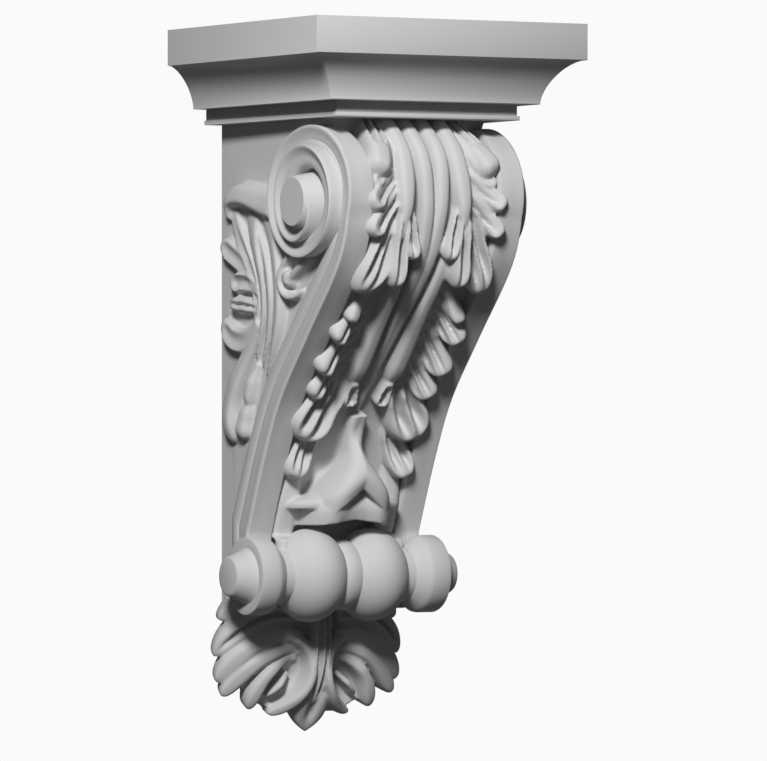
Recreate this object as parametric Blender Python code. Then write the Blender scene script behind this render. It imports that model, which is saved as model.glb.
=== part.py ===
"""Decorative corbel, cast in one piece: a mitred cap over an S-shaped scroll bracket with acanthus leaves.

Metres, +Z up. The flat back lies in the plane Y = 0 with the wall behind it, the front faces -Y, and the
origin is the centre of the back. "Out" is the distance in front of the wall, "down" a share of the scroll's
height from the underside of the cap (0) to the roller (1), and "across" a share of the body's half width.
"""

import math

import bmesh
import bpy
from mathutils import Matrix, Vector

HEIGHT = 0.3556
CAP_WIDTH = 0.154
CAP_DEPTH = 0.1525
FASCIA_HEIGHT = 0.018
COVE_HEIGHT = 0.0216
COVE_STEP = 0.0008
NECK_HEIGHT = 0.0056
NECK_PROUD = 0.0054
NECK_RECESS = 0.0086
LIP_HEIGHT = 0.0022
LIP_PROUD = 0.0012

BODY_WIDTH = 0.092
SCROLL_DEPTH = 0.135
SCROLL_GAP = 0.0036
CHANNEL_DEPTH = 0.006
STRAP_FRONT = 0.0145
STRAP_SIDE = 0.024
STRAP_PROUD = 0.004
VOLUTE_RISE = 0.0065
BAND_WIDTH = 0.0112
EYE_RADIUS = 0.0125
EYE_HEIGHT = 0.0145

ROLLER_OUT = 0.039
ROLLER_DROP = 0.0205
FOOT_HEIGHT = 0.0816
ROLLER_LENGTH = 0.109
RING_RADIUS = 0.0177
BALL_RADIUS = 0.024
BALL_SPACING = 0.0365
DISC_RADIUS = 0.0195
DISC_THICKNESS = 0.0125
NECK_RADIUS = 0.0135
BUTTON_RADIUS = 0.013
BUTTON_LENGTH = 0.0095

DROP_WIDTH = 0.104
DROP_DEPTH = 0.024
LEAF_RELIEF = 0.0075
SIDE_RELIEF = 0.0062
DROP_RELIEF = 0.0085
CALYX_WIDTH = 0.058
CALYX_REACH = 0.028
CALYX_LENGTH = 0.05
CALYX_NOTCH = 0.013
CALYX_GAP = 0.004
CALYX_SINK = 0.004

WALL_ALLOWANCE = 0.006
LEAF_SINK = 0.006
DROP_SINK = 0.014
FILLET = 0.0008
VOXEL = 0.0016
CARVING_TRIANGLES = 9300

TOP = HEIGHT / 2
NECK_INSET = (CAP_WIDTH - BODY_WIDTH) / 2 - NECK_PROUD
COVE_INSET = NECK_INSET - NECK_RECESS
CAP_HEIGHT = FASCIA_HEIGHT + COVE_HEIGHT + NECK_HEIGHT + LIP_HEIGHT
CORE_TOP = TOP - CAP_HEIGHT + LIP_HEIGHT + NECK_HEIGHT / 2
SCROLL_TOP = TOP - CAP_HEIGHT - SCROLL_GAP
HALF = BODY_WIDTH / 2
STRAP_OUTER = HALF + STRAP_PROUD
STRAP_INNER = STRAP_OUTER - STRAP_FRONT
ROLLER_HEIGHT = FOOT_HEIGHT - HEIGHT / 2
SCROLL_HEIGHT = SCROLL_TOP - ROLLER_HEIGHT - ROLLER_DROP
DROP_TOP = ROLLER_HEIGHT - RING_RADIUS / 4
DROP_BOTTOM = -HEIGHT / 2

# Front outline of the scroll: share down the scroll, share of its depth.
OUTLINE = (
    (0.0, 0.793),
    (0.069, 0.939),
    (0.164, 0.996),
    (0.25, 0.99),
    (0.349, 0.919),
    (0.514, 0.695),
    (0.667, 0.495),
    (0.807, 0.378),
    (1.0, 0.25),
)

# Centre of the volute at its outer turn and at its eye: share of the scroll's depth, share down the scroll.
VOLUTE_CENTRE = (0.705, 0.16)
EYE_CENTRE = (0.726, 0.184)

# Half size of the volute's outer turn, as shares of the scroll's depth and height, the share of it lost in
# each turn, the angle where the strap leaves the front outline and the angle turned from there to the eye.
VOLUTE_SHARE = (0.3074, 0.1762)
VOLUTE_SHRINK = 0.253
VOLUTE_START = math.radians(-24)
VOLUTE_TURN = math.radians(690)
STRAP_RISING = 0.36
STRAP_FOOT = 1.08


def blend(a, b, share):
    return a + (b - a) * share


def eased(share):
    share = min(max(share, 0.0), 1.0)
    return share * share * (3 - 2 * share)


def outline_out(down):
    """Distance of the strap's front face from the wall, on a smooth curve through OUTLINE."""
    down = min(max(down, 0.0), 1.0)
    last = len(OUTLINE) - 1
    i = next((k for k in range(last) if down <= OUTLINE[k + 1][0]), last - 1)
    (x0, y0), (x1, y1) = OUTLINE[i], OUTLINE[i + 1]

    def slope(k):
        a, b = OUTLINE[max(k - 1, 0)], OUTLINE[min(k + 1, last)]
        return (b[1] - a[1]) / (b[0] - a[0])

    t = (down - x0) / (x1 - x0)
    width = x1 - x0
    share = (
        (1 + 2 * t) * (1 - t) ** 2 * y0
        + t * (1 - t) ** 2 * width * slope(i)
        + t * t * (3 - 2 * t) * y1
        + t * t * (t - 1) * width * slope(i + 1)
    )
    return share * SCROLL_DEPTH


def height_at(down):
    return SCROLL_TOP - down * SCROLL_HEIGHT


def front_normal(down):
    """Unit vector square to the front outline, as out from the wall and up."""
    step = 0.01
    low, high = max(down - step, 0.0), min(down + step, 1.0)
    run = outline_out(high) - outline_out(low)
    fall = (high - low) * SCROLL_HEIGHT
    length = math.hypot(run, fall)
    return fall / length, run / length


def front(across, down, rise):
    """Point of the front, rise above the channel's ground."""
    out, up = front_normal(down)
    rise -= CHANNEL_DEPTH
    return Vector((across * HALF, -(outline_out(down) + out * rise), height_at(down) + up * rise))


def side(out, down, rise):
    """Point of the right side, rise above its ground; out is a share of the scroll's depth."""
    return Vector((HALF + rise, -out * SCROLL_DEPTH, height_at(down)))


def drop(across, down, rise):
    """Point of the drop leaf below the roller; across and down are shares of its own half width and height."""
    crown = max(1 - across * across, 0.0)
    out = DROP_DEPTH * (0.16 + 0.5 * crown) * (1 - 0.72 * down) + rise * (0.55 + 0.45 * crown)
    lean = across * rise * 0.45
    height = blend(DROP_TOP, DROP_BOTTOM, down)
    return Vector((across * DROP_WIDTH / 2 + lean, -out, height - rise * 0.25))


def shaped_grid(bm, across, along, place):
    """A grid whose every point place(u, v) puts where it belongs, u and v running from 0 to 1."""
    made = bmesh.ops.create_grid(bm, x_segments=across, y_segments=along, size=1)
    for vert in made["verts"]:
        vert.co = place((vert.co.x + 1) / 2, (vert.co.y + 1) / 2)
    return made["verts"]


def closed_tube(bm, across, along, place):
    """A shaped grid whose two long edges meet and whose two ends are filled."""
    verts = shaped_grid(bm, across, along, place)
    bmesh.ops.remove_doubles(bm, verts=verts, dist=1e-6)
    verts = [v for v in verts if v.is_valid]
    rim = [e for e in {e for v in verts for e in v.link_edges} if e.is_boundary]
    bmesh.ops.holes_fill(bm, edges=rim, sides=0)


def curve_point(points, share):
    """Point on the Bezier curve with these control points."""
    points = [Vector(p) for p in points]
    while len(points) > 1:
        points = [a.lerp(b, share) for a, b in zip(points, points[1:])]
    return points[0]


def finger(bm, ground, spine, width, rise, hollow=0.0, slim=0.35, sink=LEAF_SINK):
    """One rounded leaf finger along a curve on the ground: slim at its base, full near its raised tip.

    Width is in metres, across the ground; rise is the height of its crown at the tip. A hollow finger is
    dished like a spoon.
    """
    steps = 10
    sides = 10
    flat = 2.6

    def place(u, v):
        s = 1 - (1 - v) ** 1.5
        centre = curve_point(spine, s)
        ahead = curve_point(spine, min(s + 0.02, 1.0)) - curve_point(spine, max(s - 0.02, 0.0))
        here = ground(centre.x, centre.y, 0.0)
        along = ground(centre.x + ahead.x, centre.y + ahead.y, 0.0) - here
        outward = (ground(centre.x, centre.y, 0.002) - here).normalized()
        lateral = along.cross(outward).normalized()
        end = math.sqrt(max(1 - max((s - 0.72) / 0.28, 0.0) ** 2.2, 0.0004))
        half = width / 2 * blend(slim, 1.0, eased(s / 0.7)) * end
        crown = rise * blend(0.5, 1.0, eased(s)) * blend(1.0, end, 0.8)
        t = -math.cos(math.pi * u / 0.8) if u <= 0.8 else 1 - 2 * (u - 0.8) / 0.2
        if u > 0.8:
            height = -sink
            t *= 0.96
        else:
            height = crown * max(1 - abs(t) ** flat, 0.0) ** 0.6
            height -= hollow * crown * max(1 - (t / 0.65) ** 2, 0.0) * eased(s / 0.5)
        return here + lateral * (t * half) + outward * height

    closed_tube(bm, sides, steps, place)


def lobe(bm, ground, base, tip, width, fingers, rise, bend=0.0, sink=LEAF_SINK):
    """A leaf lobe: fingers fanning from its base, their tips side by side and lowest at the outer ones."""
    base, tip = Vector(base), Vector(tip)
    fingers = round(fingers)
    overlap = 1.3
    run = tip - base
    aside = Vector((-run.y, run.x))
    origin = ground(base.x, base.y, 0.0)
    reach = (ground(base.x + aside.x, base.y + aside.y, 0.0) - origin).length
    for k in range(fingers):
        place = (k + 0.5) / fingers * 2 - 1 if fingers > 1 else 0.0
        spread = aside * (place * width * (1 - 1 / fingers) / 2 / max(reach, 1e-6)) if fingers > 1 else aside * 0
        end = tip + spread - run * 0.14 * place * place
        middle = base + run * 0.5 + aside * bend + spread * 0.7
        finger(bm, ground, (base, middle, end), width / fingers * overlap, rise, sink=sink)


def mirrored(bm):
    """A second copy of everything so far on the other side of the centre plane."""
    geometry = bm.verts[:] + bm.edges[:] + bm.faces[:]
    copy = bmesh.ops.duplicate(bm, geom=geometry)["geom"]
    verts = [g for g in copy if isinstance(g, bmesh.types.BMVert)]
    bmesh.ops.scale(bm, vec=(-1, 1, 1), verts=verts)


def core(bm):
    """The bracket's body: the scroll's outline below channel level, carried across its full width."""
    steps = 40
    rows = [k / steps for k in range(steps + 1)]
    points = [front(0, down, 0) for down in rows]
    wall = WALL_ALLOWANCE
    top = Vector((0, points[0].y, CORE_TOP))
    foot = Vector((0, points[-1].y, ROLLER_HEIGHT - RING_RADIUS))
    outline = [Vector((0, wall, top.z)), top, *points, foot, Vector((0, wall, foot.z))]
    verts = [bm.verts.new((-HALF, p.y, p.z)) for p in outline]
    face = bm.faces.new(verts)
    pushed = bmesh.ops.extrude_face_region(bm, geom=[face])["geom"]
    bmesh.ops.translate(bm, vec=(BODY_WIDTH, 0, 0), verts=[g for g in pushed if isinstance(g, bmesh.types.BMVert)])


def strap_section(outer, inner, width):
    """Section of the strap and of the volute's band: lateral place and depth below the band's outer edge."""
    edge = 0.0009
    return (
        (inner, 0.0012),
        (inner + 0.0018, 0.0),
        (blend(inner, outer, 0.5), 0.0009),
        (outer - 0.0012, 0.0),
        (outer, edge),
        (outer, width * 0.38),
        (outer - 0.0016, width * 0.41),
        (outer - 0.0021, width * 0.5),
        (outer - 0.0017, width * 0.58),
        (outer - 0.0029, width * 0.78),
        (outer - STRAP_PROUD - 0.001, width),
        (inner, width),
    )


def strap_path(v):
    """One station of the strap, v from 0 at the roller to 1 at the eye: place, inward direction, section."""
    turn_down = VOLUTE_CENTRE[1] - VOLUTE_SHARE[1] * math.sin(VOLUTE_START)
    if v < STRAP_RISING:
        climb = v / STRAP_RISING
        down = blend(STRAP_FOOT, turn_down, climb)
        out, up = front_normal(min(down, 1.0))
        place = (outline_out(down), height_at(down))
        width = blend(STRAP_SIDE, STRAP_SIDE * 0.8, eased(climb))
        return place, (-out, -up), (STRAP_OUTER, STRAP_INNER, width)
    angle = VOLUTE_START + (v - STRAP_RISING) / (1 - STRAP_RISING) * VOLUTE_TURN
    share = max(angle, 0.0) / VOLUTE_TURN
    left = 1 - VOLUTE_SHRINK * angle / (2 * math.pi)
    centre_out = blend(VOLUTE_CENTRE[0], EYE_CENTRE[0], share) * SCROLL_DEPTH
    centre_up = height_at(blend(VOLUTE_CENTRE[1], EYE_CENTRE[1], share))
    out, up = math.cos(angle), math.sin(angle)
    reach, lift = left * VOLUTE_SHARE[0] * SCROLL_DEPTH, left * VOLUTE_SHARE[1] * SCROLL_HEIGHT
    place = (centre_out + reach * out, centre_up + lift * up)
    width = blend(STRAP_SIDE * 0.8, BAND_WIDTH, eased(angle / math.radians(100)))
    outer = STRAP_OUTER + VOLUTE_RISE * eased(angle / math.radians(330))
    inner = blend(STRAP_INNER, HALF - 0.006, eased(angle / math.radians(120)))
    return place, (-out, -up), (outer, inner, width)


def strap(bm):
    """The moulded strap that climbs each edge of the front and rolls up into the volute on the side."""
    count = len(strap_section(1, 0, 1))

    def place(u, v):
        (out, up), (in_out, in_up), sizes = strap_path(v)
        lateral, depth = strap_section(*sizes)[round(u * count) % count]
        return Vector((lateral, -(out + in_out * depth), up + in_up * depth))

    closed_tube(bm, count, 110, place)


def eye(bm):
    """The round boss at the volute's centre, its face cut by the end of the spiral."""
    foot = HALF - 0.004
    tip = HALF + EYE_HEIGHT
    made = bmesh.ops.create_cone(
        bm,
        cap_ends=True,
        segments=32,
        radius1=EYE_RADIUS * 1.45,
        radius2=EYE_RADIUS,
        depth=tip - foot,
    )
    middle = (foot + tip) / 2
    centre = (middle, -EYE_CENTRE[0] * SCROLL_DEPTH, height_at(EYE_CENTRE[1]))
    turn = Matrix.Translation(centre) @ Matrix.Rotation(math.radians(90), 4, "Y")
    bmesh.ops.transform(bm, matrix=turn, verts=made["verts"])


def turned(bm, centre, profile, segments=40):
    """A solid turned about an axis along X through the centre, from (along, radius) pairs."""
    verts = [bm.verts.new((centre.x + along, centre.y - radius, centre.z)) for along, radius in profile]
    edges = [bm.edges.new(pair) for pair in zip(verts, verts[1:])]
    bmesh.ops.spin(
        bm,
        geom=verts + edges,
        cent=centre,
        axis=(1, 0, 0),
        angle=2 * math.pi,
        steps=segments,
        use_merge=True,
    )
    bmesh.ops.remove_doubles(bm, verts=bm.verts, dist=1e-7)


def roller_profile():
    """Half of the roller's outline from its middle ring to its end button, along and radius."""
    end = ROLLER_LENGTH / 2
    ball = BALL_SPACING / 2
    ring = BALL_SPACING * 0.08
    points = [(0.0, RING_RADIUS), (ring, RING_RADIUS)]
    start = -math.acos(RING_RADIUS / BALL_RADIUS * 0.93)
    finish = math.acos(NECK_RADIUS / BALL_RADIUS)
    for k in range(15):
        angle = blend(start, finish, k / 14)
        points.append((ball + math.sin(angle) * BALL_RADIUS * 0.66, math.cos(angle) * BALL_RADIUS))
    disc = end - DISC_THICKNESS
    points.append((disc - 0.0045, NECK_RADIUS))
    points.append((disc, DISC_RADIUS * 0.93))
    points.append((disc + 0.0015, DISC_RADIUS))
    points.append((end - 0.001, DISC_RADIUS))
    points.append((end, DISC_RADIUS - 0.001))
    points.append((end - 0.0006, BUTTON_RADIUS + 0.001))
    points.append((end + 0.001, BUTTON_RADIUS))
    points.append((end + BUTTON_LENGTH - 0.001, BUTTON_RADIUS * 0.76))
    points.append((end + BUTTON_LENGTH, BUTTON_RADIUS * 0.7))
    points.append((end + BUTTON_LENGTH, 0.0))
    return points


def roller(bm):
    """The turned roller across the foot of the scroll: ring, two balls, two discs and their buttons."""
    half = roller_profile()
    whole = [(-along, radius) for along, radius in reversed(half[1:])] + half
    turned(bm, Vector((0, -ROLLER_OUT, ROLLER_HEIGHT)), whole)


def reeds(bm):
    """The two reeds and the two leaf stems that run down the middle of the channel."""
    finger(bm, front, ((0.10, -0.01), (0.10, 0.20), (0.085, 0.42), (0.06, 0.70)), 0.0094, LEAF_RELIEF * 0.8, 0, 0.95)
    finger(bm, front, ((0.33, -0.01), (0.34, 0.10), (0.37, 0.20), (0.36, 0.30)), 0.0125, LEAF_RELIEF, 0, 0.75)
    finger(bm, front, ((0.25, 0.30), (0.22, 0.45), (0.20, 0.55), (0.17, 0.64)), 0.0115, LEAF_RELIEF * 0.9, 0, 0.7)


# Lobes of the leaves on the front: base and tip as shares across and down, width in metres, number of
# fingers, share of the relief, sideways bend.
UPPER_LEAF = (
    ((0.42, 0.0), (0.76, 0.105), 0.0145, 3, 1.0, 0.1),
    ((0.48, 0.08), (0.75, 0.145), 0.0075, 2, 0.8, 0.1),
    ((0.40, 0.10), (0.78, 0.195), 0.0105, 3, 1.0, 0.15),
    ((0.40, 0.15), (0.76, 0.26), 0.0105, 3, 1.0, 0.15),
    ((0.42, 0.20), (0.76, 0.385), 0.0150, 3, 1.1, 0.12),
    ((0.37, 0.20), (0.36, 0.365), 0.0090, 2, 1.0, 0.0),
    ((0.33, 0.19), (0.21, 0.315), 0.0075, 2, 0.9, -0.05),
)
LOWER_LEAF = (
    ((0.30, 0.38), (0.74, 0.455), 0.0065, 1, 0.9, 0.1),
    ((0.32, 0.42), (0.83, 0.495), 0.0105, 2, 1.0, 0.15),
    ((0.32, 0.47), (0.82, 0.575), 0.0105, 2, 1.0, 0.15),
    ((0.32, 0.53), (0.82, 0.645), 0.0105, 2, 1.0, 0.15),
    ((0.34, 0.57), (0.60, 0.745), 0.0240, 3, 1.2, 0.0),
    ((0.20, 0.56), (0.20, 0.665), 0.0075, 2, 1.0, 0.0),
    ((0.28, 0.66), (0.68, 0.84), 0.0160, 3, 1.1, 0.1),
)


def front_leaves(bm):
    for base, tip, width, fingers, share, bend in UPPER_LEAF + LOWER_LEAF:
        lobe(bm, front, base, tip, width, fingers, LEAF_RELIEF * share, bend)


def calyx(bm):
    """The tulip-shaped cup that ends the middle stem and stands out over the roller, a gap above its balls."""
    above = SCROLL_TOP - (ROLLER_HEIGHT + BALL_RADIUS + CALYX_GAP)
    bottom = above / SCROLL_HEIGHT
    top = bottom - CALYX_LENGTH / SCROLL_HEIGHT
    stem = 0.0045

    def place(u, v):
        down = blend(top, bottom, v)
        half = blend(stem, CALYX_WIDTH / 2, eased(v) ** 1.4)
        reach = blend(LEAF_RELIEF * 0.7, CALYX_REACH, eased(v) ** 1.2)
        middle = front(0, down, 0)
        if u > 0.8:
            return middle + Vector((half * (1 - 2 * (u - 0.8) / 0.2), CALYX_SINK, 0))
        angle = math.pi * u / 0.8
        notch = CALYX_NOTCH * max(1 - abs(angle - math.pi / 2) / math.radians(40), 0.0) * v
        x, out = -math.cos(angle), math.sin(angle) ** 0.75
        return middle + Vector((math.copysign(abs(x) ** 0.75, x) * half, -out * reach, notch))

    closed_tube(bm, 30, 16, place)


# Carving on each side: a curve of out and down shares, width in metres, share of the relief, hollow.
SIDE_STEMS = (
    (((0.34, 0.16), (0.10, 0.13), (0.08, 0.24), (0.20, 0.31)), 0.0100, 0.8, 0.3),
    (((0.12, 0.19), (0.12, 0.30), (0.38, 0.34), (0.33, 0.52)), 0.0060, 0.9, 0.0),
    (((0.24, 0.22), (0.22, 0.32), (0.46, 0.36), (0.37, 0.56)), 0.0060, 0.8, 0.0),
    (((0.40, 0.24), (0.38, 0.34), (0.50, 0.40), (0.42, 0.58)), 0.0070, 0.7, 0.0),
    (((0.30, 0.46), (0.22, 0.56), (0.14, 0.62), (0.165, 0.765)), 0.0130, 1.0, 0.35),
    (((0.36, 0.50), (0.30, 0.60), (0.24, 0.66), (0.255, 0.74)), 0.0070, 0.8, 0.0),
)
SIDE_LOBES = (
    ((0.22, 0.36), (0.075, 0.325), 0.0120, 1, 1.1, 0.0),
    ((0.28, 0.40), (0.15, 0.395), 0.0100, 2, 0.9, 0.0),
    ((0.28, 0.44), (0.16, 0.450), 0.0085, 2, 0.9, 0.0),
    ((0.28, 0.47), (0.12, 0.520), 0.0110, 1, 1.1, 0.0),
    ((0.50, 0.34), (0.60, 0.385), 0.0120, 1, 0.9, 0.0),
)


def side_carving(bm):
    for spine, width, share, hollow in SIDE_STEMS:
        finger(bm, side, spine, width, SIDE_RELIEF * share, hollow, 0.8)
    for base, tip, width, fingers, share, bend in SIDE_LOBES:
        lobe(bm, side, base, tip, width, fingers, SIDE_RELIEF * share, bend)


# Lobes of the drop leaf: base and tip as shares of its half width and height, width, fingers, relief, bend.
DROP_LOBES = (
    ((0.16, 0.02), (0.93, 0.21), 0.0150, 2, 0.9, 0.15),
    ((0.16, 0.14), (0.96, 0.44), 0.0150, 2, 0.9, 0.15),
    ((0.14, 0.26), (0.90, 0.67), 0.0160, 2, 1.0, 0.12),
    ((0.12, 0.36), (0.60, 0.82), 0.0130, 2, 1.0, 0.10),
    ((0.08, 0.44), (0.36, 0.85), 0.0110, 2, 1.0, 0.05),
)


def drop_leaf(bm):
    """The leaf that hangs below the roller against the wall, and the solid behind it."""

    def ground(u, v):
        taper = math.sqrt(max(1 - (v * 0.96) ** 3, 0.0))
        across = -math.cos(math.pi * u / 0.8) if u <= 0.8 else 1 - 2 * (u - 0.8) / 0.2
        point = drop(across * taper * 0.9, v * 0.86, 0.0)
        if u > 0.8:
            point.y = WALL_ALLOWANCE
        return point

    closed_tube(bm, 20, 12, ground)
    finger(bm, drop, ((0, -0.05), (0, 0.3), (0, 0.6), (0, 1.0)), 0.0200, DROP_RELIEF, 0, 0.5, DROP_SINK)


def drop_lobes(bm):
    for base, tip, width, fingers, share, bend in DROP_LOBES:
        lobe(bm, drop, base, tip, width, fingers, DROP_RELIEF * share, bend, DROP_SINK)


def cap(bm):
    """The cap: fascia, cove, neck and lip, mitred round three sides and flat at the wall."""
    cove_steps = 8
    fascia_foot = TOP - FASCIA_HEIGHT
    cove_foot = fascia_foot - COVE_HEIGHT
    neck_foot = cove_foot - NECK_HEIGHT
    lip = NECK_INSET - LIP_PROUD
    levels = [(TOP, 0.0), (fascia_foot, 0.0)]
    for k in range(cove_steps + 1):
        angle = math.radians(90) * k / cove_steps
        inset = COVE_STEP + (COVE_INSET - COVE_STEP) * math.sin(angle)
        levels.append((fascia_foot - COVE_HEIGHT * 0.92 * (1 - math.cos(angle)), inset))
    levels += [(cove_foot, COVE_INSET), (cove_foot, NECK_INSET), (neck_foot, NECK_INSET)]
    levels += [(neck_foot, lip), (neck_foot - LIP_HEIGHT, lip)]

    def ring(height, inset):
        side_out, front_out = CAP_WIDTH / 2 - inset, CAP_DEPTH - inset
        return (
            (-side_out, WALL_ALLOWANCE, height),
            (-side_out, -front_out, height),
            (side_out, -front_out, height),
            (side_out, WALL_ALLOWANCE, height),
        )

    verts = [bm.verts.new(point) for point in ring(*levels[0])]
    top = bm.faces.new(verts)
    last = top
    for height, inset in levels[1:]:
        pushed = bmesh.ops.extrude_face_region(bm, geom=[last])["geom"]
        if last is not top:
            bmesh.ops.delete(bm, geom=[last], context="FACES_ONLY")
        last = next(g for g in pushed if isinstance(g, bmesh.types.BMFace))
        for loop, point in zip(last.loops, ring(height, inset)):
            loop.vert.co = point


def finished(name, bm, material=None):
    """The mesh as a named object with outward faces."""
    bmesh.ops.recalc_face_normals(bm, faces=bm.faces)
    mesh = bpy.data.meshes.new(name)
    bm.to_mesh(mesh)
    bm.free()
    thing = bpy.data.objects.new(name, mesh)
    bpy.context.scene.collection.objects.link(thing)
    if material:
        mesh.materials.append(material)
    return thing


def hidden(thing):
    thing.hide_render = True
    thing.display_type = "WIRE"
    return thing


def plaster():
    """Matt off-white primer over the casting."""
    material = bpy.data.materials.new("primed casting")
    material.use_nodes = True
    shader = material.node_tree.nodes["Principled BSDF"]
    shader.inputs["Base Color"].default_value = (0.62, 0.61, 0.6, 1)
    shader.inputs["Roughness"].default_value = 0.75
    shader.inputs["Metallic"].default_value = 0.0
    return material


def corbel():
    """The whole casting: carving fused over the body, the cap on top, cut flat at the wall.

    The fused skin is grown and drawn back by FILLET, which fills the narrow pockets between the leaves.
    """
    bm = bmesh.new()
    strap(bm)
    eye(bm)
    reeds(bm)
    front_leaves(bm)
    side_carving(bm)
    drop_lobes(bm)
    mirrored(bm)
    core(bm)
    roller(bm)
    calyx(bm)
    drop_leaf(bm)
    body = finished("corbel", bm, plaster())

    bm = bmesh.new()
    cap(bm)
    cap_form = hidden(finished("cap form", bm))

    bm = bmesh.new()
    bmesh.ops.create_cube(bm, size=1)
    bmesh.ops.scale(bm, vec=(CAP_WIDTH * 2, CAP_DEPTH, HEIGHT * 2), verts=bm.verts)
    bmesh.ops.translate(bm, vec=(0, CAP_DEPTH / 2, 0), verts=bm.verts)
    wall = hidden(finished("wall", bm))

    for grown, name in ((FILLET, "fused"), (-FILLET, "filled")):
        skin = body.modifiers.new(name, "REMESH")
        skin.mode = "VOXEL"
        skin.voxel_size = VOXEL
        offset = body.modifiers.new(name + " offset", "DISPLACE")
        offset.strength = grown
        offset.mid_level = 0
    bpy.context.view_layer.update()
    dense = body.evaluated_get(bpy.context.evaluated_depsgraph_get())
    dense.data.calc_loop_triangles()
    thinned = body.modifiers.new("thinned", "DECIMATE")
    thinned.ratio = min(1.0, CARVING_TRIANGLES / len(dense.data.loop_triangles))
    capped = body.modifiers.new("capped", "BOOLEAN")
    capped.operation = "UNION"
    capped.object = cap_form
    flat_back = body.modifiers.new("flat back", "BOOLEAN")
    flat_back.operation = "DIFFERENCE"
    flat_back.object = wall
    return body


for old in list(bpy.data.objects):
    bpy.data.objects.remove(old)
corbel()
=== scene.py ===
import math

import bmesh
import bpy
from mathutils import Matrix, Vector


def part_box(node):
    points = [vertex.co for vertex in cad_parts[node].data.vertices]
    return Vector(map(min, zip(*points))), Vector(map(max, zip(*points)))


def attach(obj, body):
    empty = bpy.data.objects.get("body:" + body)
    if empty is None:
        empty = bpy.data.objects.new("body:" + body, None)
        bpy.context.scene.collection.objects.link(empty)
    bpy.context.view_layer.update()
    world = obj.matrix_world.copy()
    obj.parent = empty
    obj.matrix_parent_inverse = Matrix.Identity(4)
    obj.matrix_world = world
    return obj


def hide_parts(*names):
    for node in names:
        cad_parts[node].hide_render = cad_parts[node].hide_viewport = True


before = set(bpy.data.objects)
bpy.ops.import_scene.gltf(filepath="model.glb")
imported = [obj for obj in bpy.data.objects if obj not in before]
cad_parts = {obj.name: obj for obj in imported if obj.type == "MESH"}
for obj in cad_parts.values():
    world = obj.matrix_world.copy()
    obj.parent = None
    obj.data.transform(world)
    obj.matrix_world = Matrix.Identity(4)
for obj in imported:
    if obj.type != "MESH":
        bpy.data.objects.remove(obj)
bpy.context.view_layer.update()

# Viewpoint and studio.
# The corbel is seen from 30 degrees to the left of square, level with its middle, through a long lens.
# One soft key light stands above and to the left of the lens, over a pale floor well below the corbel.
VIEW_ANGLE = math.radians(30)
VIEW_DISTANCE = 3.316
VIEW_HEIGHT = -0.0102
AIM_OUT = 0.076
FRAME_WIDTH = 767
FRAME_HEIGHT = 761
FOCAL_PIXELS = 6650
AIM_PIXEL = (375.9, 404.0)
SENSOR = 36.0
KEY_DIRECTION = Vector((-1.28, -1.68, 1.21)).normalized()
KEY_DISTANCE = 1.9
KEY_SIZE = 0.4
KEY_SPREAD = math.radians(50)
KEY_POWER = 2.74
FILL = 0.06
BACKDROP = 0.957
FLOOR_DROP = 1.1
FLOOR_RADIUS = 2.4
FLOOR_TONE = 0.8
FLOOR_ROUGHNESS = 0.9

studio = bpy.context.scene
studio.view_settings.view_transform = "Standard"

lens = bpy.data.cameras.new("lens")
lens.sensor_width = SENSOR
lens.lens = FOCAL_PIXELS / FRAME_WIDTH * SENSOR
lens.shift_x = (FRAME_WIDTH / 2 - AIM_PIXEL[0]) / FRAME_WIDTH
lens.shift_y = (AIM_PIXEL[1] - FRAME_HEIGHT / 2) / FRAME_WIDTH
lens.clip_end = 50
camera = bpy.data.objects.new("camera", lens)
camera.location = (
    -math.sin(VIEW_ANGLE) * VIEW_DISTANCE,
    -AIM_OUT - math.cos(VIEW_ANGLE) * VIEW_DISTANCE,
    VIEW_HEIGHT,
)
camera.rotation_euler = (math.radians(90), 0, -VIEW_ANGLE)
studio.collection.objects.link(camera)
studio.camera = camera

key_data = bpy.data.lights.new("key", "AREA")
key_data.shape = "DISK"
key_data.size = KEY_SIZE
key_data.spread = KEY_SPREAD
key_data.energy = KEY_POWER
key = bpy.data.objects.new("key", key_data)
key.location = Vector((0, -AIM_OUT, 0)) + KEY_DIRECTION * KEY_DISTANCE
key.rotation_euler = KEY_DIRECTION.to_track_quat("Z", "Y").to_euler()
studio.collection.objects.link(key)

world = bpy.data.worlds.new("studio")
world.use_nodes = True
studio.world = world
sky = world.node_tree
ambient = sky.nodes["Background"]
ambient.inputs["Color"].default_value = (1, 1, 1, 1)
ambient.inputs["Strength"].default_value = FILL
backdrop = sky.nodes.new("ShaderNodeBackground")
backdrop.inputs["Color"].default_value = (BACKDROP, BACKDROP, BACKDROP, 1)
seen = sky.nodes.new("ShaderNodeLightPath")
either = sky.nodes.new("ShaderNodeMixShader")
sky.links.new(seen.outputs["Is Camera Ray"], either.inputs["Fac"])
sky.links.new(ambient.outputs["Background"], either.inputs[1])
sky.links.new(backdrop.outputs["Background"], either.inputs[2])
sky.links.new(either.outputs["Shader"], sky.nodes["World Output"].inputs["Surface"])

floor_mesh = bmesh.new()
bmesh.ops.create_circle(floor_mesh, cap_ends=True, segments=96, radius=FLOOR_RADIUS)
bmesh.ops.translate(floor_mesh, vec=(0, 0, -FLOOR_DROP), verts=floor_mesh.verts)
floor_data = bpy.data.meshes.new("floor")
floor_mesh.to_mesh(floor_data)
floor = bpy.data.objects.new("floor", floor_data)
studio.collection.objects.link(floor)
pale = bpy.data.materials.new("pale floor")
pale.use_nodes = True
pale_shader = pale.node_tree.nodes["Principled BSDF"]
pale_shader.inputs["Base Color"].default_value = (FLOOR_TONE, FLOOR_TONE, FLOOR_TONE, 1)
pale_shader.inputs["Roughness"].default_value = FLOOR_ROUGHNESS
floor_data.materials.append(pale)

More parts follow.
